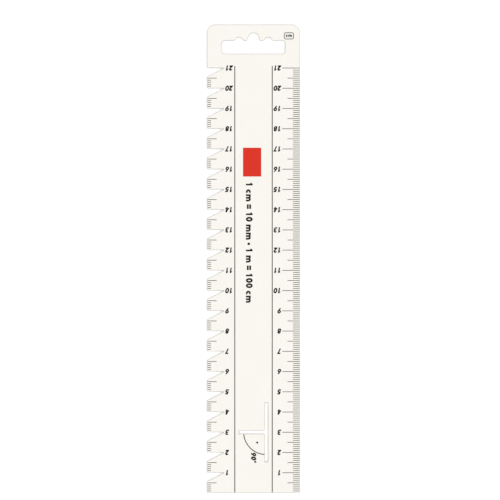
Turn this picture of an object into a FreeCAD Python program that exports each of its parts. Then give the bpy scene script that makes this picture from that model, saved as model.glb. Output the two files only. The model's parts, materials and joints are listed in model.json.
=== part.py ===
import FreeCAD, Part

import math
import os

import Sketcher

# Hand gauge for sewing: one flat plastic plate, 21 centimetres of scale long, with its print.
#
# The plate lies on its back. +Z is up through the printed face, +Y runs along the scale towards the
# hang slot, and +X points at the finely ruled edge. The origin is the middle of the plate's underside.
#
# Every profile is drawn on the scale itself: in a sketch, y = 0 is the plate's zero edge and x = 0 is its
# centreline, so a mark for 7 cm is drawn at y = 70. Each piece is then moved back by half the plate's length.

# Driving dimensions in millimetres, and two counts: notch_count and marks_in_group.
SIZES = {
    # plate
    "plate_width": 46.0,
    "plate_length": 231.5,
    "plate_thickness": 1.0,
    "top_corner_radius": 4.0,
    "zero_corner_radius": 0.4,
    "corner_round": 0.3,
    "edge_chamfer": 0.25,
    # notches: one below each centimetre, with a level upper wall, a slanting lower wall and a blunt tip
    "centimetre": 10.0,
    "millimetre": 1.0,
    "notch_count": 21,
    "notch_depth": 8.25,
    "notch_mouth": 4.25,
    "notch_tip_width": 0.12,
    "cutter_overrun": 1.5,
    # hang slot: a rounded slot whose upper edge carries a tall crown between two low lobes
    "slot_width": 31.2,
    "slot_height": 6.5,
    "slot_corner_radius": 1.5,
    "slot_wing_drop": 7.95,
    "crown_drop": 4.2,
    "crown_radius": 2.8,
    "lobe_drop": 6.3,
    "lobe_radius": 1.9,
    "lobe_offset": 7.2,
    "tooth_round": 0.6,
    "shoulder_round": 0.9,
    # right-angle slot: an upright and a crossbar that meet square
    "angle_slot_width": 1.5,
    "upright_centre": 6.4,
    "upright_low": 15.35,
    "upright_high": 44.65,
    "crossbar_centre": 30.0,
    "crossbar_end": -7.2,
    # print
    "ink_thickness": 0.03,
    "ink_margin": 0.3,
    "mark_width": 0.28,
    "centimetre_mark": 8.8,
    "half_centimetre_mark": 6.2,
    "millimetre_mark": 3.5,
    "notch_half_mark": 4.75,
    "notch_millimetre_mark": 2.0,
    "marks_in_group": 4,
    "margin_line_offset": 9.25,
    "margin_line_width": 0.42,
    "margin_line_top": 211.0,
    "arc_centre_x": 6.2,
    "arc_centre_y": 30.1,
    "arc_radius": 11.1,
    "arc_line_width": 0.42,
    "dot_diameter": 1.0,
    "dot_x": 1.8,
    "dot_y": 24.9,
    "patch_width": 9.0,
    "patch_length": 14.25,
    "patch_x": -0.7,
    "patch_y": 163.5,
}

# How a sketch numbers the points of a curve, its own origin and its own axes.
START = 1
END = 2
CENTRE = 3
ORIGIN = -1
X_AXIS = -1
Y_AXIS = -2

# The least cosine at which a direction counts as parallel to Z.
PARALLEL = 0.999

# Areas that differ by less than this many square millimetres count as equal.
AREA_SLACK = 0.01

doc = FreeCAD.newDocument("hand_gauge")
sheet = doc.addObject("Spreadsheet::Sheet", "Sizes")


def fill_sheet():
    """One row for each driving dimension: its name, and its value under that name."""
    for row, (name, value) in enumerate(SIZES.items(), start=1):
        sheet.set(f"A{row}", name)
        sheet.set(f"B{row}", str(value))
        sheet.setAlias(f"B{row}", name)
    doc.recompute()


def number(expression):
    """The present value of a formula on the sheet's cells."""
    return float(sheet.evalExpression(expression))


# ---------------------------------------------------------------------------------------------- sketching


def origin_feature(body, role):
    return next(item for item in body.Origin.OriginFeatures if item.Role == role)


def new_body(name, underside="0"):
    """A piece drawn on the scale, whose underside lies at the given height."""
    body = doc.addObject("PartDesign::Body", name)
    body.AllowCompound = True
    body.setExpression("Placement.Base.y", "-Sizes.plate_length / 2")
    body.setExpression("Placement.Base.z", underside)
    return body


def new_sketch(body, name):
    sketch = body.newObject("Sketcher::SketchObject", name)
    sketch.AttachmentSupport = [(origin_feature(body, "XY_Plane"), "")]
    sketch.MapMode = "FlatFace"
    return sketch


def line(x0, y0, x1, y1):
    return Part.LineSegment(FreeCAD.Vector(x0, y0, 0), FreeCAD.Vector(x1, y1, 0))


def arc(x, y, radius, first, last):
    """An arc about (x, y), counterclockwise from the first angle to the last, in radians."""
    circle = Part.Circle(FreeCAD.Vector(x, y, 0), FreeCAD.Vector(0, 0, 1), radius)
    return Part.ArcOfCircle(circle, first, last)


def add_loop(sketch, curves, corners=()):
    """Adds the curves as one closed loop: smooth from each curve to the next, except after the corners."""
    first = sketch.GeometryCount
    sketch.addGeometry(curves, False)
    for step in range(len(curves)):
        here = first + step
        there = first + (step + 1) % len(curves)
        ends = min(
            ((a, b) for a in (START, END) for b in (START, END)),
            key=lambda pair: sketch.getPoint(here, pair[0]).distanceToPoint(sketch.getPoint(there, pair[1])),
        )
        joint = "Coincident" if step in corners else "Tangent"
        sketch.addConstraint(Sketcher.Constraint(joint, here, ends[0], there, ends[1]))
    return first


def hold(sketch, direction, curve, point, expression):
    """Holds a point at a distance along X or Y from the sketch's origin."""
    constraint = Sketcher.Constraint(
        "Distance" + direction, ORIGIN, START, curve, point, number(expression)
    )
    index = sketch.addConstraint(constraint)
    sketch.setExpression(f"Constraints[{index}]", expression)


def hold_radius(sketch, curve, expression):
    index = sketch.addConstraint(Sketcher.Constraint("Radius", curve, number(expression)))
    sketch.setExpression(f"Constraints[{index}]", expression)


def set_square(sketch, level, upright):
    """Makes the listed lines level, and the others upright."""
    for curve in level:
        sketch.addConstraint(Sketcher.Constraint("Horizontal", curve))
    for curve in upright:
        sketch.addConstraint(Sketcher.Constraint("Vertical", curve))


def add_outline(sketch, corners):
    """A closed outline of straight sides, whose corners are each held by two formulas."""
    points = [(number(x), number(y)) for x, y in corners]
    first = add_loop(
        sketch,
        [line(*here, *there) for here, there in zip(points, points[1:] + points[:1])],
        corners=range(len(corners)),
    )
    for side, (x, y) in enumerate(corners, start=first):
        hold(sketch, "X", side, START, x)
        hold(sketch, "Y", side, START, y)


def pad(body, sketch, height):
    feature = body.newObject("PartDesign::Pad", body.Name + "_pad")
    feature.Profile = sketch
    feature.setExpression("Length", height)
    body.Tip = feature
    return feature


def cut_through(body, sketch, name):
    """Cuts the sketch's outline upwards through the whole plate."""
    before = body.Tip
    feature = body.newObject("PartDesign::Pocket", name)
    feature.Profile = sketch
    feature.Type = "ThroughAll"
    feature.Reversed = True
    body.Tip = feature
    doc.recompute()
    if feature.Shape.Volume > before.Shape.Volume - number("Sizes.plate_thickness"):
        raise RuntimeError(name + " removes nothing")
    return feature


def repeat_along_scale(body, feature, name, spacing, count):
    """Repeats a feature along the scale, count times in all."""
    pattern = body.newObject("PartDesign::LinearPattern", name)
    pattern.Originals = [feature]
    pattern.Direction = (origin_feature(body, "Y_Axis"), [""])
    pattern.Mode = "Spacing"
    pattern.setExpression("Offset", spacing)
    pattern.setExpression("Occurrences", count)
    body.Tip = pattern
    doc.recompute()
    return pattern


# -------------------------------------------------------------------------------------------------- plate


def plate_outline(body):
    """The plate's outline, with two broad corners at the hang slot and two small ones at the zero edge."""
    half = number("Sizes.plate_width / 2")
    length = number("Sizes.plate_length")
    top = number("Sizes.top_corner_radius")
    zero = number("Sizes.zero_corner_radius")
    quarter = math.pi / 2
    sketch = new_sketch(body, "plate_outline")
    add_loop(
        sketch,
        [
            line(zero - half, 0, half - zero, 0),
            arc(half - zero, zero, zero, -quarter, 0),
            line(half, zero, half, length - top),
            arc(half - top, length - top, top, 0, quarter),
            line(half - top, length, top - half, length),
            arc(top - half, length - top, top, quarter, 2 * quarter),
            line(-half, length - top, -half, zero),
            arc(zero - half, zero, zero, 2 * quarter, 3 * quarter),
        ],
    )
    zero_edge, zero_right, right_edge, top_right, top_edge, top_left, left_edge, zero_left = range(8)
    set_square(sketch, level=(zero_edge, top_edge), upright=(right_edge, left_edge))
    sketch.addConstraint(Sketcher.Constraint("PointOnObject", zero_edge, START, X_AXIS))
    hold(sketch, "Y", top_edge, START, "Sizes.plate_length")
    hold(sketch, "X", right_edge, START, "Sizes.plate_width / 2")
    hold(sketch, "X", left_edge, START, "-Sizes.plate_width / 2")
    for corner in (top_right, top_left):
        hold_radius(sketch, corner, "Sizes.top_corner_radius")
    for corner in (zero_right, zero_left):
        hold_radius(sketch, corner, "Sizes.zero_corner_radius")
    return sketch


def notch_profile(body):
    """The notch under the first centimetre, run on past the plate's edge.

    Its level upper wall is the centimetre itself. The lower wall slants from the blunt tip to the mouth.
    """
    upper = "Sizes.centimetre"
    tip = "-Sizes.plate_width / 2 + Sizes.notch_depth"
    outside = "-Sizes.plate_width / 2 - Sizes.cutter_overrun"
    slope = "(Sizes.notch_mouth - Sizes.notch_tip_width) / Sizes.notch_depth"
    tip_low = "Sizes.centimetre - Sizes.notch_tip_width"
    outside_low = f"Sizes.centimetre - Sizes.notch_mouth - Sizes.cutter_overrun * {slope}"
    corners = [(outside, upper), (tip, upper), (tip, tip_low), (outside, outside_low)]
    sketch = new_sketch(body, "notch_profile")
    add_outline(sketch, corners)
    return sketch


def hang_slot_profile(body):
    """The right half of the hang slot, from the centreline outwards.

    Along its upper edge come the crown, a tooth, a lobe and the level wing, each rounded into the next.
    """
    length = number("Sizes.plate_length")
    crown = number("Sizes.crown_radius")
    lobe = number("Sizes.lobe_radius")
    tooth = number("Sizes.tooth_round")
    shoulder = number("Sizes.shoulder_round")
    corner = number("Sizes.slot_corner_radius")
    end = number("Sizes.slot_width / 2")
    wing_y = length - number("Sizes.slot_wing_drop")
    low_y = wing_y - number("Sizes.slot_height")
    crown_y = length - number("Sizes.crown_drop") - crown
    lobe_x = number("Sizes.lobe_offset")
    lobe_y = length - number("Sizes.lobe_drop") - lobe
    tooth_lean = math.asin((wing_y + tooth - lobe_y) / (lobe + tooth))
    shoulder_lean = math.asin((wing_y + shoulder - lobe_y) / (lobe + shoulder))
    tooth_x = lobe_x - (lobe + tooth) * math.cos(tooth_lean)
    shoulder_x = lobe_x + (lobe + shoulder) * math.cos(shoulder_lean)
    quarter = math.pi / 2
    sketch = new_sketch(body, "hang_slot_profile")
    add_loop(
        sketch,
        [
            arc(0, crown_y, crown, 0, quarter),
            line(crown, crown_y, crown, wing_y + tooth),
            arc(crown + tooth, wing_y + tooth, tooth, 2 * quarter, 3 * quarter),
            line(crown + tooth, wing_y, tooth_x, wing_y),
            arc(tooth_x, wing_y + tooth, tooth, -quarter, -tooth_lean),
            arc(lobe_x, lobe_y, lobe, shoulder_lean, math.pi - tooth_lean),
            arc(shoulder_x, wing_y + shoulder, shoulder, math.pi + shoulder_lean, 3 * quarter),
            line(shoulder_x, wing_y, end - corner, wing_y),
            arc(end - corner, wing_y - corner, corner, 0, quarter),
            line(end, wing_y - corner, end, low_y + corner),
            arc(end - corner, low_y + corner, corner, -quarter, 0),
            line(end - corner, low_y, 0, low_y),
            line(0, low_y, 0, crown_y + crown),
        ],
        corners=(11, 12),
    )
    crown_arc, crown_wall, tooth_in, tooth_edge, tooth_out, lobe_arc = range(6)
    shoulder_arc, wing, upper_corner, end_wall, lower_corner, low_edge, centreline = range(6, 13)
    set_square(sketch, level=(tooth_edge, wing, low_edge), upright=(crown_wall, end_wall, centreline))
    for point, curve in ((CENTRE, crown_arc), (START, centreline)):
        sketch.addConstraint(Sketcher.Constraint("PointOnObject", curve, point, Y_AXIS))
    radii = {
        crown_arc: "Sizes.crown_radius",
        tooth_in: "Sizes.tooth_round",
        tooth_out: "Sizes.tooth_round",
        lobe_arc: "Sizes.lobe_radius",
        shoulder_arc: "Sizes.shoulder_round",
        upper_corner: "Sizes.slot_corner_radius",
        lower_corner: "Sizes.slot_corner_radius",
    }
    for curve, radius in radii.items():
        hold_radius(sketch, curve, radius)
    wing_level = "Sizes.plate_length - Sizes.slot_wing_drop"
    hold(sketch, "Y", crown_arc, CENTRE, "Sizes.plate_length - Sizes.crown_drop - Sizes.crown_radius")
    hold(sketch, "Y", lobe_arc, CENTRE, "Sizes.plate_length - Sizes.lobe_drop - Sizes.lobe_radius")
    hold(sketch, "X", lobe_arc, CENTRE, "Sizes.lobe_offset")
    hold(sketch, "Y", tooth_edge, START, wing_level)
    hold(sketch, "Y", wing, START, wing_level)
    hold(sketch, "Y", low_edge, START, wing_level + " - Sizes.slot_height")
    hold(sketch, "X", end_wall, START, "Sizes.slot_width / 2")
    return sketch


def angle_slot_profile(body):
    """The right-angle slot: an upright, with a crossbar running left from it."""
    half_width = "Sizes.angle_slot_width / 2"
    left = f"Sizes.upright_centre - {half_width}"
    right = f"Sizes.upright_centre + {half_width}"
    under = f"Sizes.crossbar_centre - {half_width}"
    over = f"Sizes.crossbar_centre + {half_width}"
    end = "Sizes.crossbar_end"
    low = "Sizes.upright_low"
    high = "Sizes.upright_high"
    sketch = new_sketch(body, "angle_slot_profile")
    add_outline(
        sketch,
        [
            (left, low),
            (right, low),
            (right, high),
            (left, high),
            (left, over),
            (end, over),
            (end, under),
            (left, under),
        ],
    )
    return sketch


def sharp_upright_edges(shape):
    """Names of the edges to round where two flat walls meet: the notch mouths and the inner slot corners.

    The blunt tips of the notches and the square ends of the right-angle slot stay sharp, so the edges of
    walls no wider than that slot are left out.
    """
    narrow = number("Sizes.angle_slot_width * Sizes.plate_thickness") + AREA_SLACK
    names = []
    for index, edge in enumerate(shape.Edges, start=1):
        upright = edge.Curve.TypeId == "Part::GeomLine" and abs(edge.Curve.Direction.z) > PARALLEL
        walls = shape.ancestorsOfType(edge, Part.Face)
        if upright and all(wall.Surface.TypeId == "Part::GeomPlane" and wall.Area > narrow for wall in walls):
            names.append(f"Edge{index}")
    return names


def printed_and_back_faces(shape):
    """Names of the plate's two broad faces."""
    names = []
    for index, face in enumerate(shape.Faces, start=1):
        if face.Surface.TypeId == "Part::GeomPlane" and abs(face.normalAt(0, 0).z) > PARALLEL:
            names.append(f"Face{index}")
    return names


def ease(body, kind, name, edges, size_name, size):
    """Rounds or chamfers the listed edges, or all edges of the listed faces."""
    base = body.Tip
    feature = body.newObject(kind, name)
    feature.Base = (base, edges)
    feature.setExpression(size_name, size)
    body.Tip = feature
    doc.recompute()


def make_plate():
    """The gauge itself: the outline, then the notches, the two slots and the eased edges."""
    body = new_body("gauge_plate")
    pad(body, plate_outline(body), "Sizes.plate_thickness")
    doc.recompute()
    notch = cut_through(body, notch_profile(body), "notch")
    repeat_along_scale(body, notch, "notches", "Sizes.centimetre", "Sizes.notch_count")
    half_slot = cut_through(body, hang_slot_profile(body), "half_hang_slot")
    hang_slot = body.newObject("PartDesign::Mirrored", "hang_slot")
    hang_slot.Originals = [half_slot]
    hang_slot.MirrorPlane = (origin_feature(body, "YZ_Plane"), [""])
    body.Tip = hang_slot
    doc.recompute()
    cut_through(body, angle_slot_profile(body), "angle_slot")
    corners = sharp_upright_edges(body.Tip.Shape)
    ease(body, "PartDesign::Fillet", "eased_corners", corners, "Radius", "Sizes.corner_round")
    faces = printed_and_back_faces(body.Tip.Shape)
    ease(body, "PartDesign::Chamfer", "eased_edges", faces, "Size", "Sizes.edge_chamfer")
    return body


# -------------------------------------------------------------------------------------------------- print


def make_marks(name, left, right, first, spacing, count, group="1"):
    """A row of printed marks on the plate: one mark, repeated each millimetre to a group, then along the scale."""
    body = new_body(name, underside="Sizes.plate_thickness")
    sketch = new_sketch(body, name + "_profile")
    low = f"{first} - Sizes.mark_width / 2"
    high = f"{first} + Sizes.mark_width / 2"
    add_outline(sketch, [(left, low), (right, low), (right, high), (left, high)])
    mark = pad(body, sketch, "Sizes.ink_thickness")
    doc.recompute()
    pattern = repeat_along_scale(body, mark, name + "_row", spacing, count)
    if group != "1":
        pattern.Direction2 = (origin_feature(body, "Y_Axis"), [""])
        pattern.Mode2 = "Spacing"
        pattern.setExpression("Offset2", "Sizes.millimetre")
        pattern.setExpression("Occurrences2", group)
        doc.recompute()
    return body


def make_ruled_edge():
    """The finely ruled edge on the right: long marks for centimetres, shorter for halves and millimetres."""
    edge = "Sizes.plate_width / 2"
    outer = f"{edge} - Sizes.ink_margin"
    half = "Sizes.centimetre / 2"
    make_marks(
        "centimetre_marks", f"{edge} - Sizes.centimetre_mark", outer, "Sizes.centimetre",
        "Sizes.centimetre", "Sizes.notch_count",
    )
    make_marks(
        "half_centimetre_marks", f"{edge} - Sizes.half_centimetre_mark", outer, half,
        "Sizes.centimetre", "Sizes.notch_count",
    )
    make_marks(
        "millimetre_marks", f"{edge} - Sizes.millimetre_mark", outer, "Sizes.millimetre",
        half, "2 * Sizes.notch_count", group="Sizes.marks_in_group",
    )


def make_notched_edge():
    """The marks on the land above each notch: four short ones, then a longer one for the half centimetre."""
    edge = "-Sizes.plate_width / 2"
    outer = f"{edge} + Sizes.ink_margin"
    make_marks(
        "notch_half_centimetre_marks", outer, f"{edge} + Sizes.notch_half_mark", "Sizes.centimetre / 2",
        "Sizes.centimetre", "Sizes.notch_count",
    )
    make_marks(
        "notch_millimetre_marks", outer, f"{edge} + Sizes.notch_millimetre_mark", "Sizes.millimetre",
        "Sizes.centimetre", "Sizes.notch_count", group="Sizes.marks_in_group",
    )


def make_film(name, left, width, low, length):
    """A plain rectangle of ink."""
    film = doc.addObject("Part::Box", name)
    film.setExpression("Length", width)
    film.setExpression("Width", length)
    film.setExpression("Height", "Sizes.ink_thickness")
    film.setExpression("Placement.Base.x", left)
    film.setExpression("Placement.Base.y", f"{low} - Sizes.plate_length / 2")
    film.setExpression("Placement.Base.z", "Sizes.plate_thickness")
    return film


def make_margin_lines():
    """Two long lines, one on each side of the plate's middle, from the zero edge past the last centimetre."""
    width = "Sizes.margin_line_width"
    low = "Sizes.ink_margin"
    length = "Sizes.margin_line_top - Sizes.ink_margin"
    half_width = f"{width} / 2"
    make_film("left_margin_line", f"-Sizes.margin_line_offset - {half_width}", width, low, length)
    make_film("right_margin_line", f"Sizes.margin_line_offset - {half_width}", width, low, length)


def make_angle_arc():
    """The quarter arc that marks the right angle, from under the crossbar round to the upright."""
    x = number("Sizes.arc_centre_x")
    y = number("Sizes.arc_centre_y")
    outer = number("Sizes.arc_radius + Sizes.arc_line_width / 2")
    inner = number("Sizes.arc_radius - Sizes.arc_line_width / 2")
    stop_x = number("Sizes.upright_centre - Sizes.angle_slot_width / 2 - Sizes.ink_margin")
    stop_y = number("Sizes.crossbar_centre - Sizes.angle_slot_width / 2 - Sizes.ink_margin")
    body = new_body("right_angle_arc", underside="Sizes.plate_thickness")
    sketch = new_sketch(body, "right_angle_arc_profile")

    def angles(radius):
        """Where a circle of this radius passes under the crossbar, and where it reaches the upright."""
        return math.pi + math.asin((y - stop_y) / radius), 1.5 * math.pi - math.asin((x - stop_x) / radius)

    outer_first, outer_last = angles(outer)
    inner_first, inner_last = angles(inner)
    add_loop(
        sketch,
        [
            arc(x, y, outer, outer_first, outer_last),
            line(stop_x, y + outer * math.sin(outer_last), stop_x, y + inner * math.sin(inner_last)),
            arc(x, y, inner, inner_first, inner_last),
            line(x + inner * math.cos(inner_first), stop_y, x + outer * math.cos(outer_first), stop_y),
        ],
        corners=range(4),
    )
    outer_arc, at_upright, inner_arc, at_crossbar = range(4)
    set_square(sketch, level=(at_crossbar,), upright=(at_upright,))
    sketch.addConstraint(Sketcher.Constraint("Coincident", outer_arc, CENTRE, inner_arc, CENTRE))
    hold(sketch, "X", outer_arc, CENTRE, "Sizes.arc_centre_x")
    hold(sketch, "Y", outer_arc, CENTRE, "Sizes.arc_centre_y")
    hold_radius(sketch, outer_arc, "Sizes.arc_radius + Sizes.arc_line_width / 2")
    hold_radius(sketch, inner_arc, "Sizes.arc_radius - Sizes.arc_line_width / 2")
    back = "Sizes.angle_slot_width / 2 - Sizes.ink_margin"
    hold(sketch, "X", at_upright, START, "Sizes.upright_centre - " + back)
    hold(sketch, "Y", at_crossbar, START, "Sizes.crossbar_centre - " + back)
    pad(body, sketch, "Sizes.ink_thickness")
    return body


def make_angle_dot():
    """The dot inside the arc, which says that the angle is a right angle."""
    dot = doc.addObject("Part::Cylinder", "right_angle_dot")
    dot.setExpression("Radius", "Sizes.dot_diameter / 2")
    dot.setExpression("Height", "Sizes.ink_thickness")
    dot.setExpression("Placement.Base.x", "Sizes.dot_x")
    dot.setExpression("Placement.Base.y", "Sizes.dot_y - Sizes.plate_length / 2")
    dot.setExpression("Placement.Base.z", "Sizes.plate_thickness")
    return dot


def make_colour_patch():
    """The bare block of colour in the plate's middle."""
    make_film(
        "colour_patch", "Sizes.patch_x - Sizes.patch_width / 2", "Sizes.patch_width",
        "Sizes.patch_y - Sizes.patch_length / 2", "Sizes.patch_length",
    )


# ------------------------------------------------------------------------------------------------- output


def pieces():
    """The finished pieces: every body, and every plain solid that stands by itself."""
    return [item for item in doc.Objects if item.TypeId in ("PartDesign::Body", "Part::Box", "Part::Cylinder")]


def check_document():
    """Stops if anything failed to build, a sketch is loose, or a piece isn't a sound solid."""
    for item in doc.Objects:
        if "Invalid" in item.State or "Error" in item.State:
            raise RuntimeError(f"{item.Name} failed: {item.State}")
        if item.TypeId == "Sketcher::SketchObject" and not item.FullyConstrained:
            raise RuntimeError(item.Name + " isn't fully constrained")
    for piece in pieces():
        if piece.Shape.isNull() or not piece.Shape.isValid() or piece.Shape.Volume <= 0:
            raise RuntimeError(piece.Name + " isn't a sound solid")


def write_pieces():
    os.makedirs("parts", exist_ok=True)
    for piece in pieces():
        piece.Label = piece.Name
        piece.Shape.exportStep(f"parts/{piece.Label}.step")
        box = piece.Shape.BoundBox
        print(
            f"{piece.Label}: {len(piece.Shape.Solids)} solids, {piece.Shape.Volume:.3f} mm3, "
            f"x {box.XMin:.2f} to {box.XMax:.2f}, y {box.YMin:.2f} to {box.YMax:.2f}, "
            f"z {box.ZMin:.2f} to {box.ZMax:.2f}"
        )


fill_sheet()
make_plate()
make_ruled_edge()
make_notched_edge()
make_margin_lines()
make_angle_arc()
make_angle_dot()
make_colour_patch()
doc.recompute()
check_document()
write_pieces()
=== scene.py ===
"""Sewing gauge: finishes, numerals, generic print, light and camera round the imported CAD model.

The frame has +X towards the finely ruled edge, +Y along the scale from the zero edge to the hang slot, and
+Z up through the printed face. Lengths are in metres, and MM turns a number of millimetres into metres.
"""

import json
import math

import bmesh
import bpy
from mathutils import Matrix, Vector
from mathutils.geometry import delaunay_2d_cdt


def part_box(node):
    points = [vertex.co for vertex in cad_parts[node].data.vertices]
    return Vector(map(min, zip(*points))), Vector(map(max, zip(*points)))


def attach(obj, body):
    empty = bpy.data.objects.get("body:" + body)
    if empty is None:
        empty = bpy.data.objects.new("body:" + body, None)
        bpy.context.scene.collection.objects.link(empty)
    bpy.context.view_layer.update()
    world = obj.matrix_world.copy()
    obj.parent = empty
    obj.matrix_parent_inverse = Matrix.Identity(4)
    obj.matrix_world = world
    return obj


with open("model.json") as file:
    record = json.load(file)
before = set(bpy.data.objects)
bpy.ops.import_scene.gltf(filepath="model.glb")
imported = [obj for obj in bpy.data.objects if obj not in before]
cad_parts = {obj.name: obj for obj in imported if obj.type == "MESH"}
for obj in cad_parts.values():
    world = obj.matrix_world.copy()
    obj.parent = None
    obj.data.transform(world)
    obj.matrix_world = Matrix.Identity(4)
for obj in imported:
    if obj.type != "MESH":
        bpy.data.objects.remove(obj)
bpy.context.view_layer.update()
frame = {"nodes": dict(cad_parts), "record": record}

MM = 0.001

# Places that the CAD nodes give
PLATE_LOW, PLATE_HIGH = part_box("gauge_plate")
PLATE_TOP = PLATE_HIGH.z
INK_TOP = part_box("centimetre_marks")[1].z
ZERO_EDGE_Y = PLATE_LOW.y
CENTIMETRE = 10 * MM
CENTIMETRES = 21

# Directions in which lines of text run
TO_LEFT = Vector((-1.0, 0.0))
TO_RIGHT = Vector((1.0, 0.0))
TO_ZERO_EDGE = Vector((0.0, -1.0))

# Numerals of both scales, upside down to whoever looks along +Y
NUMERAL_HEIGHT = 2.65 * MM
NUMERAL_ADVANCE = 1.88 * MM
NUMERAL_PEN = 0.26
NUMERAL_SLANT = 0.17
LEFT_NUMERALS_END_X = -13.93 * MM
RIGHT_NUMERALS_START_X = 13.7 * MM

# The label of the right-angle slot
ANGLE_LABEL = "90o"
ANGLE_LABEL_START = Vector((-1.25 * MM, 20.0 * MM + ZERO_EDGE_Y))
ANGLE_LABEL_HEIGHT = 2.6 * MM
ANGLE_LABEL_PEN = 0.29

# The line of units along the middle, with a dot for each *
UNIT_LINE = "1 cm = 10 mm * 1 m = 100 cm"
UNIT_LINE_START = Vector((-3.75 * MM, 38.0 * MM))
UNIT_LINE_LENGTH = 60.0 * MM
UNIT_LINE_HEIGHT = 3.3 * MM
UNIT_LINE_PEN = 0.27

# The small box near the hang slot that names the scale's unit
UNIT_BOX_CENTRE = Vector((17.5 * MM, PLATE_HIGH.y - 5.6 * MM))
UNIT_BOX_SIZE = Vector((4.9 * MM, 3.4 * MM))
UNIT_BOX_LINE = 0.32 * MM
UNIT_BOX_RADIUS = 0.95 * MM
UNIT_BOX_TEXT = "cm"
UNIT_BOX_TEXT_HEIGHT = 1.75 * MM
UNIT_BOX_TEXT_PEN = 0.25

# How finely curves are drawn, and how far apart two points of a union may be and still be one
ARC_STEP = math.radians(10)
CIRCLE_SIDES = 24
UNION_TOLERANCE_MM = 1e-5


# ---------------------------------------------------------------- pen strokes as outlines

def disc(centre, radius):
    """Outline of a round dot."""
    corners = []
    for step in range(CIRCLE_SIDES):
        angle = 2 * math.pi * step / CIRCLE_SIDES
        corners.append(Vector(centre) + radius * Vector((math.cos(angle), math.sin(angle))))
    return [corners]


def bow(pen, centre, radii, start, end):
    """Outline of a curved stroke along an ellipse, from one angle in degrees to another."""
    first = math.radians(start)
    sweep = math.radians(end) - first
    steps = math.ceil(abs(sweep) / ARC_STEP)
    outer = []
    inner = []
    for step in range(steps + 1):
        angle = first + sweep * step / steps
        on_line = Vector((radii[0] * math.cos(angle), radii[1] * math.sin(angle)))
        outward = Vector((radii[1] * math.cos(angle), radii[0] * math.sin(angle))).normalized()
        outer.append(Vector(centre) + on_line + outward * pen / 2)
        inner.append(Vector(centre) + on_line - outward * pen / 2)
    return [outer + inner[::-1]]


def round_bow(pen, centre, radius, start, end):
    """Outline of a curved stroke along a circle, from one angle in degrees to another."""
    return bow(pen, centre, (radius, radius), start, end)


def ring(pen, centre, radii):
    """Outlines of a closed curved stroke: two half rings that meet."""
    return bow(pen, centre, radii, 0, 180) + bow(pen, centre, radii, 180, 360)


def round_ring(pen, centre, radius):
    """Outlines of a closed stroke along a circle."""
    return ring(pen, centre, (radius, radius))


def slab(pen, start, end):
    """Outline of a straight slanting stroke whose two ends are cut level."""
    run = end[0] - start[0]
    rise = end[1] - start[1]
    half = pen / 2 * math.hypot(run, rise) / abs(rise)
    return [[Vector((start[0] - half, start[1])), Vector((start[0] + half, start[1])),
             Vector((end[0] + half, end[1])), Vector((end[0] - half, end[1]))]]


def stroke(pen, start, end):
    """Outline of a straight stroke whose two ends are cut square."""
    along = Vector(end) - Vector(start)
    side = Vector((-along.y, along.x)).normalized() * pen / 2
    return [[Vector(start) + side, Vector(start) - side, Vector(end) - side, Vector(end) + side]]


def block(left, low, right, high):
    """Outline of a level bar or an upright."""
    return [[Vector((left, low)), Vector((right, low)), Vector((right, high)), Vector((left, high))]]


# ---------------------------------------------------------------- letters
# A letter is drawn in units of a numeral's height, with its foot at 0 and its head at 1. Where it has a line
# of its own, that is the pen made a little lighter or heavier, so that all letters look equally black.

DIGIT_ADVANCE = 0.76
MIDDLE_X = 0.37
SMALL_LETTER_HEIGHT = 0.72
LOOP_RADIUS = 0.215
BOWL_RADIUS = 0.2
BOWL_WAIST = 0.4


def letter_0(pen):
    """An upright oval."""
    half_width = 0.36
    half_height = 0.51
    return ring(pen, (MIDDLE_X, 0.5), (half_width - pen / 2, half_height - pen / 2))


def letter_1(pen):
    """A stem with a slanting flag."""
    stem_x = 0.41
    flag_x = 0.15
    flag_high = 0.86
    line = 0.93 * pen
    stem = slab(line, (stem_x, 0), (stem_x, 1))
    flag = [[Vector((stem_x, 1)), Vector((flag_x, flag_high)),
             Vector((flag_x, flag_high - line)), Vector((stem_x, 1 - line))]]
    return stem + flag


def letter_2(pen):
    """A bow, a slanting stroke that leaves it along its side, and a foot."""
    line = 1.1 * pen
    radius = 0.185
    first_angle = -35
    last_angle = 170
    turn = math.radians(first_angle)
    centre = (MIDDLE_X, 1 - line / 2 - radius)
    bow_end = (MIDDLE_X + radius * math.cos(turn), centre[1] + radius * math.sin(turn))
    foot = (bow_end[0] + (bow_end[1] - line / 2) * math.tan(turn), line / 2)
    foot_left = 0.07
    foot_right = 0.7
    return (round_bow(line, centre, radius, first_angle, last_angle) + stroke(line, bow_end, foot)
            + block(foot_left, 0, foot_right, line))


def bowls(pen):
    """Centre and radius of the upper bowl, then of the lower one, which share the stroke of the waist."""
    upper_radius = (1 - BOWL_WAIST - pen) / 2
    upper = (MIDDLE_X, 1 - pen / 2 - upper_radius)
    lower = (MIDDLE_X, pen / 2 + BOWL_RADIUS)
    return upper, upper_radius, lower, BOWL_RADIUS


def letter_3(pen):
    """The right halves of two bowls, with bars that run into them from the left."""
    line = 0.95 * pen
    upper, upper_radius, lower, lower_radius = bowls(line)
    foot_left = 0.08
    head_left = 0.12
    waist_left = 0.22
    return (round_bow(line, upper, upper_radius, -90, 90) + round_bow(line, lower, lower_radius, -90, 90)
            + block(foot_left, 0, MIDDLE_X, line) + block(head_left, 1 - line, MIDDLE_X, 1)
            + block(waist_left, BOWL_WAIST, MIDDLE_X, BOWL_WAIST + line))


def letter_4(pen):
    """A stem, a slanting stroke and a crossbar."""
    stem = pen - 0.02
    stem_x = 0.49
    line = 0.8 * pen
    slant_foot = (0.14, 0.2)
    slant_head = (0.46, 1)
    bar_low = 0.17
    bar_left = 0.04
    bar_right = 0.72
    return (block(stem_x - stem / 2, 0, stem_x + stem / 2, 1) + slab(line, slant_foot, slant_head)
            + block(bar_left, bar_low, bar_right, bar_low + line))


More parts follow.
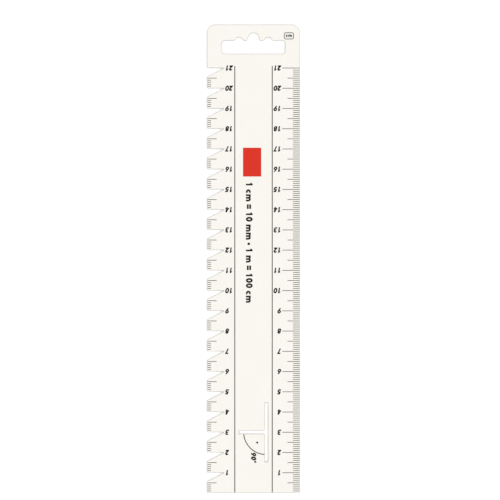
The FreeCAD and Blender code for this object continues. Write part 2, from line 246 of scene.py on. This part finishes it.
def letter_5(pen):
    """A head bar, a short stem, a shoulder and an open loop."""
    loop = (MIDDLE_X, pen / 2 + LOOP_RADIUS)
    shoulder = loop[1] + LOOP_RADIUS
    stem_foot_x = 0.215
    stem_head_x = 0.3
    head_left = 0.24
    head_right = 0.66
    loop_end = -160
    return (block(head_left, 1 - pen, head_right, 1)
            + slab(pen, (stem_foot_x, shoulder - pen / 2), (stem_head_x, 1))
            + block(stem_foot_x, shoulder - pen / 2, MIDDLE_X, shoulder + pen / 2)
            + round_bow(pen, loop, LOOP_RADIUS, loop_end, 90))


def letter_6(pen):
    """A loop, and a straight stem that leaves it along its side."""
    line = 0.94 * pen
    loop = (MIDDLE_X, line / 2 + LOOP_RADIUS)
    leaving = math.radians(150)
    stem_slope = math.tan(math.radians(60))
    side = Vector(loop) + LOOP_RADIUS * Vector((math.cos(leaving), math.sin(leaving)))
    stem_head = (side.x + (1 - side.y) / stem_slope, 1)
    return round_ring(line, loop, LOOP_RADIUS) + slab(line, side, stem_head)


def letter_7(pen):
    """A head bar and a slanting stem."""
    head_left = 0.1
    head_right = 0.68
    stem_foot_x = 0.26
    stem_head_x = 0.56
    line = 0.93 * pen
    return block(head_left, 1 - line, head_right, 1) + slab(line, (stem_foot_x, 0), (stem_head_x, 1))


def letter_8(pen):
    """Two closed bowls."""
    upper, upper_radius, lower, lower_radius = bowls(pen)
    return round_ring(pen, upper, upper_radius) + round_ring(pen, lower, lower_radius)


def letter_9(pen):
    """A 6 turned half round."""
    return [[Vector((2 * MIDDLE_X, 1)) - corner for corner in outline] for outline in letter_6(pen)]


def letter_c(pen):
    """A round bow, open to the right."""
    centre_x = 0.38
    middle = SMALL_LETTER_HEIGHT / 2
    mouth = 48
    return round_bow(pen, (centre_x, middle), middle - pen / 2, mouth, 360 - mouth)


def letter_m(pen):
    """A stem and two arches."""
    stem_left = 0.06
    arch_radius = 0.2
    spring_y = SMALL_LETTER_HEIGHT - pen / 2 - arch_radius
    outlines = block(stem_left, 0, stem_left + pen, SMALL_LETTER_HEIGHT)
    for arch in range(2):
        left = stem_left + pen / 2 + 2 * arch * arch_radius
        right = left + 2 * arch_radius
        outlines += round_bow(pen, (left + arch_radius, spring_y), arch_radius, 0, 180)
        outlines += block(right - pen / 2, 0, right + pen / 2, spring_y)
    return outlines


def letter_equals(pen):
    """Two level bars."""
    left = 0.06
    right = 0.74
    lower_bar = 0.14
    upper_bar = 0.5
    return block(left, lower_bar, right, lower_bar + pen) + block(left, upper_bar, right, upper_bar + pen)


def alphabet(pen):
    """Advance and outlines of each letter at this pen width. An o is a degree ring, and a * is a dot."""
    degree_pen = 0.16
    degree_centre = (0.19, 0.8)
    degree_radius = 0.13
    dot_centre = (0.25, 0.42)
    dot_radius = 0.2
    return {
        "0": (DIGIT_ADVANCE, letter_0(pen)),
        "1": (DIGIT_ADVANCE, letter_1(pen)),
        "2": (DIGIT_ADVANCE, letter_2(pen)),
        "3": (DIGIT_ADVANCE, letter_3(pen)),
        "4": (DIGIT_ADVANCE, letter_4(pen)),
        "5": (DIGIT_ADVANCE, letter_5(pen)),
        "6": (DIGIT_ADVANCE, letter_6(pen)),
        "7": (DIGIT_ADVANCE, letter_7(pen)),
        "8": (DIGIT_ADVANCE, letter_8(pen)),
        "9": (DIGIT_ADVANCE, letter_9(pen)),
        "c": (0.68, letter_c(pen)),
        "m": (1.16, letter_m(pen)),
        "=": (0.8, letter_equals(pen)),
        "*": (0.5, disc(dot_centre, dot_radius)),
        "o": (0.46, round_ring(degree_pen, degree_centre, degree_radius)),
        " ": (0.3, []),
    }


def text_units(text, letters):
    """Length of a line of text in units of a numeral's height."""
    return sum(letters[letter][0] for letter in text)


def written(text, letters, start, reading, height, slant=0.0, stretch=1.0):
    """Outlines of a line of text, one patch of overlapping outlines for each letter.

    The baseline runs from start along reading. slant leans the letters about their middles, and stretch
    spaces them out.
    """
    up = Vector((-reading.y, reading.x))
    patches = []
    passed = 0.0
    for letter in text:
        advance, outlines = letters[letter]
        patch = []
        for outline in outlines:
            patch.append([
                start + reading * (passed + corner.x + slant * (corner.y - 0.5)) * height
                + up * corner.y * height for corner in outline])
        if patch:
            patches.append(patch)
        passed += advance * stretch
    return patches


# ---------------------------------------------------------------- films of ink

def joined(patch):
    """Points and triangles of the flat union of a patch's outlines, all wound the same way."""
    points = []
    faces = []
    for outline in patch:
        turn = sum(a.cross(b) for a, b in zip(outline, outline[1:] + outline[:1]))
        corners = outline if turn > 0 else outline[::-1]
        faces.append(list(range(len(points), len(points) + len(corners))))
        points += [corner / MM for corner in corners]
    union = delaunay_2d_cdt(points, [], faces, 1, UNION_TOLERANCE_MM)
    flat_points, _, flat_faces, _, _, face_sources = union
    triangles = []
    for triangle, sources in zip(flat_faces, face_sources):
        if not sources:
            continue
        first, second, third = (flat_points[index] for index in triangle)
        if (second - first).cross(third - first) < 0:
            triangle = triangle[::-1]
        triangles.append(list(triangle))
    return [point * MM for point in flat_points], triangles


def film(name, patches, material):
    """A piece made of thin closed films that lie on the plate's face, one for each patch."""
    shape = bmesh.new()
    for patch in patches:
        points, triangles = joined(patch)
        used = sorted({index for triangle in triangles for index in triangle})
        lower = {index: shape.verts.new((*points[index], PLATE_TOP)) for index in used}
        upper = {index: shape.verts.new((*points[index], INK_TOP)) for index in used}
        sides = set()
        for a, b, c in triangles:
            shape.faces.new((upper[a], upper[b], upper[c]))
            shape.faces.new((lower[c], lower[b], lower[a]))
            sides.update(((a, b), (b, c), (c, a)))
        for a, b in sorted(sides):
            if (b, a) not in sides:
                shape.faces.new((lower[a], lower[b], upper[b], upper[a]))
    mesh = bpy.data.meshes.new(name)
    shape.to_mesh(mesh)
    shape.free()
    mesh.materials.append(material)
    piece = bpy.data.objects.new(name, mesh)
    bpy.context.scene.collection.objects.link(piece)
    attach(piece, "root")


def rounded_box(centre, size, radius):
    """Outline of a box with round corners."""
    quarter = CIRCLE_SIDES // 4
    corners = []
    for turn, (side_x, side_y) in enumerate(((1, 1), (-1, 1), (-1, -1), (1, -1))):
        middle = centre + Vector((side_x * (size.x / 2 - radius), side_y * (size.y / 2 - radius)))
        for step in range(quarter + 1):
            angle = math.pi / 2 * (turn + step / quarter)
            corners.append(middle + radius * Vector((math.cos(angle), math.sin(angle))))
    return corners


def rounded_frame(centre, size, radius, line):
    """Outlines of the line round a box with round corners: one quadrilateral for each stretch."""
    outer = rounded_box(centre, size, radius)
    inner = rounded_box(centre, size - Vector((2 * line, 2 * line)), radius - line)
    outlines = []
    for index in range(len(outer)):
        after = (index + 1) % len(outer)
        outlines.append([outer[index], outer[after], inner[after], inner[index]])
    return outlines


# ---------------------------------------------------------------- node helpers

def new_material(name):
    """A node material, and its shader."""
    material = bpy.data.materials.new(name)
    material.use_nodes = True
    return material, material.node_tree.nodes["Principled BSDF"]


def add_node(tree, kind, values=None, **settings):
    """Adds a node, sets its properties, and sets or links its inputs."""
    node = tree.nodes.new(kind)
    for key, value in settings.items():
        setattr(node, key, value)
    for key, value in (values or {}).items():
        if isinstance(value, bpy.types.NodeSocket):
            tree.links.new(value, node.inputs[key])
        else:
            node.inputs[key].default_value = value
    return node


def surface_noise(tree, scale, detail, stretch=(1.0, 1.0, 1.0)):
    """Noise in the object's own metres, as a socket. scale is in features per metre."""
    place = add_node(tree, "ShaderNodeTexCoord")
    mapping = add_node(tree, "ShaderNodeMapping", {"Vector": place.outputs["Object"], "Scale": stretch})
    noise = add_node(tree, "ShaderNodeTexNoise",
                     {"Vector": mapping.outputs["Vector"], "Scale": scale, "Detail": detail})
    return noise.outputs["Fac"]


def ranged(tree, value, source, target):
    """The value mapped from one range to another and held inside it."""
    node = add_node(tree, "ShaderNodeMapRange", {
        "Value": value, "From Min": source[0], "From Max": source[1],
        "To Min": target[0], "To Max": target[1]})
    return node.outputs["Result"]


def calculated(tree, operation, *values):
    """The result of an arithmetic node, as a socket."""
    return add_node(tree, "ShaderNodeMath", dict(enumerate(values)), operation=operation).outputs["Value"]


def shaded(tree, colour, factor):
    """The colour scaled by a factor."""
    return add_node(tree, "ShaderNodeVectorMath", {0: colour, "Scale": factor},
                    operation="SCALE").outputs["Vector"]


def set_relief(tree, shader, height, strength, depth):
    """Gives the shader a fine relief of this height."""
    bump = add_node(tree, "ShaderNodeBump", {"Height": height, "Strength": strength, "Distance": depth})
    tree.links.new(bump.outputs["Normal"], shader.inputs["Normal"])


# ---------------------------------------------------------------- materials

BASE_COLOURS = {entry["slot"]: entry["base_color"] for entry in frame["record"]["materials"]}
REFRACTION = 1.5

# The plastic. Scales are in features per metre, and a pair is a range.
MOTTLE_SCALE = 60.0
MOTTLE_SOURCE = (0.3, 0.7)
MOTTLE_TINT = (0.992, 1.006)
MOULD_GRAIN_SCALE = 4500.0
HAIRLINE_SCALE = 900.0
HAIRLINE_STRETCH = (6.0, 0.12, 1.0)
HAIRLINE_SOURCE = (0.35, 0.75)
PLASTIC_ROUGHNESS = (0.36, 0.5)
PLASTIC_SPECULAR = 0.4
PLASTIC_RELIEF = 0.12
PLASTIC_RELIEF_DEPTH = 0.01 * MM
# Surfaces count as edges where the normal's upright part falls through this range. There the colour is
# darkened as painted shade, which makes the chamfers and side walls greyer than the flat faces.
SHADED_EDGE_SOURCE = (0.72, 0.95)
EDGE_PAINTED_SHADE = (0.72, 1.0)

# The inks
DENSITY_SCALE = 1500.0
DENSITY_SOURCE = (0.35, 0.7)
INK_GRAIN_SCALE = 5000.0
INK_GRAIN_SOURCE = (0.3, 0.7)
INK_ROUGHNESS_SPREAD = 0.06
INK_RELIEF = 0.2
INK_RELIEF_DEPTH = 0.008 * MM


def plate_plastic():
    """Satin white plastic: a fine moulded grain, faint hairlines, and painted shade that greys the chamfers
    and side walls.
    """
    material, shader = new_material("plate_plastic")
    tree = material.node_tree
    mottle = ranged(tree, surface_noise(tree, MOTTLE_SCALE, detail=3.0), MOTTLE_SOURCE, MOTTLE_TINT)
    grain = surface_noise(tree, MOULD_GRAIN_SCALE, detail=2.0)
    hairlines = surface_noise(tree, HAIRLINE_SCALE, detail=1.0, stretch=HAIRLINE_STRETCH)
    normal = add_node(tree, "ShaderNodeTexCoord").outputs["Normal"]
    upright = add_node(tree, "ShaderNodeSeparateXYZ", {"Vector": normal}).outputs["Z"]
    # Painted shade: the colour is darkened where the normal tilts away from upright, on chamfers and side
    # walls, and multiplied with the random mottle.
    painted_edge_shade = ranged(tree, calculated(tree, "ABSOLUTE", upright), SHADED_EDGE_SOURCE, EDGE_PAINTED_SHADE)
    mottle_and_edge_shade = calculated(tree, "MULTIPLY", mottle, painted_edge_shade)
    tree.links.new(shaded(tree, BASE_COLOURS["plate_plastic"], mottle_and_edge_shade), shader.inputs["Base Color"])
    tree.links.new(ranged(tree, hairlines, HAIRLINE_SOURCE, PLASTIC_ROUGHNESS), shader.inputs["Roughness"])
    set_relief(tree, shader, calculated(tree, "ADD", grain, hairlines), PLASTIC_RELIEF, PLASTIC_RELIEF_DEPTH)
    shader.inputs["IOR"].default_value = REFRACTION
    shader.inputs["Specular IOR Level"].default_value = PLASTIC_SPECULAR
    return material


def printed_ink(name, specular, weakest, roughness):
    """Screen-printed ink: a little uneven in density, with the fine grain of the plate under it.

    weakest is the factor on the colour where the ink is thinnest.
    """
    material, shader = new_material(name)
    tree = material.node_tree
    unevenness = surface_noise(tree, DENSITY_SCALE, detail=4.0)
    density = ranged(tree, unevenness, DENSITY_SOURCE, (1.0, weakest))
    tree.links.new(shaded(tree, BASE_COLOURS[name], density), shader.inputs["Base Color"])
    grain = surface_noise(tree, INK_GRAIN_SCALE, detail=3.0)
    spread = (roughness - INK_ROUGHNESS_SPREAD, roughness + INK_ROUGHNESS_SPREAD)
    tree.links.new(ranged(tree, grain, INK_GRAIN_SOURCE, spread), shader.inputs["Roughness"])
    set_relief(tree, shader, grain, INK_RELIEF, INK_RELIEF_DEPTH)
    shader.inputs["IOR"].default_value = REFRACTION
    shader.inputs["Specular IOR Level"].default_value = specular
    return material


MATERIALS = {
    "plate_plastic": plate_plastic(),
    "black_ink": printed_ink("black_ink", specular=0.06, weakest=1.5, roughness=0.5),
    "red_ink": printed_ink("red_ink", specular=0.1, weakest=0.93, roughness=0.42),
}
for subpart in frame["record"]["subparts"]:
    for material_slot in frame["nodes"][subpart["node"]].material_slots:
        material_slot.material = MATERIALS[subpart["material_slot"]]


# ---------------------------------------------------------------- numerals and words

NUMERALS = alphabet(NUMERAL_PEN)


def black_print(name, patches):
    """A piece of black print made of these patches."""
    film(name, patches, MATERIALS["black_ink"])


def numeral_column(name, place_x, number_ends_there):
    """The numbers of one scale, each level with its centimetre mark.

    They read towards -X, and place_x is where each number ends, or else where it starts.
    """
    stretch = NUMERAL_ADVANCE / NUMERAL_HEIGHT / DIGIT_ADVANCE
    patches = []
    for number in range(1, CENTIMETRES + 1):
        text = str(number)
        base_y = ZERO_EDGE_Y + number * CENTIMETRE + NUMERAL_HEIGHT / 2
        shift = len(text) * NUMERAL_ADVANCE if number_ends_there else 0.0
        patches += written(text, NUMERALS, Vector((place_x + shift, base_y)), TO_LEFT, NUMERAL_HEIGHT,
                           NUMERAL_SLANT, stretch)
    black_print(name, patches)


def right_angle_label():
    """The "90" with its degree ring, beside the arc of the right-angle slot."""
    letters = alphabet(ANGLE_LABEL_PEN)
    patches = written(ANGLE_LABEL, letters, ANGLE_LABEL_START, TO_ZERO_EDGE, ANGLE_LABEL_HEIGHT,
                      NUMERAL_SLANT)
    black_print("right_angle_label", patches)


def unit_line():
    """A plain line that states the scale's units, along the middle of the plate."""
    letters = alphabet(UNIT_LINE_PEN)
    stretch = UNIT_LINE_LENGTH / UNIT_LINE_HEIGHT / text_units(UNIT_LINE, letters)
    patches = written(UNIT_LINE, letters, UNIT_LINE_START, TO_ZERO_EDGE, UNIT_LINE_HEIGHT, stretch=stretch)
    black_print("unit_line", patches)


def unit_box():
    """The small box near the hang slot, with the scale's unit in it."""
    patches = [rounded_frame(UNIT_BOX_CENTRE, UNIT_BOX_SIZE, UNIT_BOX_RADIUS, UNIT_BOX_LINE)]
    letters = alphabet(UNIT_BOX_TEXT_PEN)
    width = text_units(UNIT_BOX_TEXT, letters) * UNIT_BOX_TEXT_HEIGHT
    height = SMALL_LETTER_HEIGHT * UNIT_BOX_TEXT_HEIGHT
    start = UNIT_BOX_CENTRE - Vector((width / 2, height / 2))
    patches += written(UNIT_BOX_TEXT, letters, start, TO_RIGHT, UNIT_BOX_TEXT_HEIGHT)
    black_print("unit_box", patches)


numeral_column("left_numerals", LEFT_NUMERALS_END_X, number_ends_there=True)
numeral_column("right_numerals", RIGHT_NUMERALS_START_X, number_ends_there=False)
right_angle_label()
unit_line()
unit_box()


# ---------------------------------------------------------------- floor, light and camera

WHITE = (1.0, 1.0, 1.0, 1.0)
FLOOR_SIDE = 8.0
FLOOR_GAP = 0.02 * MM
FLOOR_COLOUR = (0.9, 0.9, 0.9, 1.0)
FLOOR_GLOW = 0.26
WORLD_LIGHT = 0.4

# Lamps: the way towards each, how bright it makes a white surface that lies flat, and how wide it looks
KEY_WAY = (0.5, -0.7, 1.0)
KEY_LIGHT = 0.22
KEY_ANGLE = math.radians(12)
FILL_WAYS = {"fill_left": (-0.9, 0.1, 1.0), "fill_right": (0.6, 0.7, 1.0)}
FILL_LIGHT = 0.195
FILL_ANGLE = math.radians(60)

# The camera stands straight above, at the photograph's framing
VIEW_WIDTH = 247.1 * MM
VIEW_CENTRE = Vector((-1.74 * MM, 4.32 * MM))
LENS_MM = 150.0
SENSOR_MM = 36.0
NEAREST_SEEN = 0.01
FARTHEST_SEEN = 100.0


def seen_directly(tree):
    """1 for rays from the camera, a mirror-like surface or glass, and 0 for the rays that light surfaces."""
    path = add_node(tree, "ShaderNodeLightPath").outputs
    direct = calculated(tree, "MAXIMUM", path["Is Camera Ray"], path["Is Glossy Ray"])
    return calculated(tree, "MAXIMUM", direct, path["Is Transmission Ray"])


def make_floor():
    """A plain pale floor just under the gauge, a little brighter where it is looked at."""
    shape = bmesh.new()
    bmesh.ops.create_grid(shape, x_segments=1, y_segments=1, size=FLOOR_SIDE / 2)
    mesh = bpy.data.meshes.new("floor")
    shape.to_mesh(mesh)
    shape.free()
    floor = bpy.data.objects.new("floor", mesh)
    floor.location.z = PLATE_LOW.z - FLOOR_GAP
    bpy.context.scene.collection.objects.link(floor)
    material, shader = new_material("floor")
    tree = material.node_tree
    shader.inputs["Base Color"].default_value = FLOOR_COLOUR
    shader.inputs["Roughness"].default_value = 1.0
    shader.inputs["Specular IOR Level"].default_value = 0.0
    shader.inputs["Emission Color"].default_value = WHITE
    glow = calculated(tree, "MULTIPLY", seen_directly(tree), FLOOR_GLOW)
    tree.links.new(glow, shader.inputs["Emission Strength"])
    mesh.materials.append(material)


def make_world():
    """An even white surround: a plain white where it is seen, and part of the light on surfaces."""
    world = bpy.data.worlds.new("studio")
    world.use_nodes = True
    tree = world.node_tree
    background = tree.nodes["Background"]
    background.inputs["Color"].default_value = WHITE
    strength = ranged(tree, seen_directly(tree), (0.0, 1.0), (WORLD_LIGHT, 1.0))
    tree.links.new(strength, background.inputs["Strength"])
    bpy.context.scene.world = world


def make_lamp(name, way, light, angle):
    """A distant soft lamp. light is how bright it makes a white surface that lies flat."""
    towards = Vector(way).normalized()
    lamp = bpy.data.lights.new(name, "SUN")
    lamp.energy = light * math.pi / towards.z
    lamp.angle = angle
    holder = bpy.data.objects.new(name, lamp)
    holder.rotation_mode = "QUATERNION"
    holder.rotation_quaternion = towards.to_track_quat("Z", "Y")
    bpy.context.scene.collection.objects.link(holder)


def make_camera():
    """The camera straight above the plate, with +Y up in the picture."""
    data = bpy.data.cameras.new("camera")
    data.lens = LENS_MM
    data.sensor_width = SENSOR_MM
    data.clip_start = NEAREST_SEEN
    data.clip_end = FARTHEST_SEEN
    camera = bpy.data.objects.new("camera", data)
    height = VIEW_WIDTH * LENS_MM / SENSOR_MM
    camera.location = (VIEW_CENTRE.x, VIEW_CENTRE.y, PLATE_TOP + height)
    bpy.context.scene.collection.objects.link(camera)
    bpy.context.scene.camera = camera


make_floor()
make_world()
make_lamp("key", KEY_WAY, KEY_LIGHT, KEY_ANGLE)
for fill_name, fill_way in FILL_WAYS.items():
    make_lamp(fill_name, fill_way, FILL_LIGHT, FILL_ANGLE)
make_camera()
bpy.context.scene.view_settings.view_transform = "Standard"
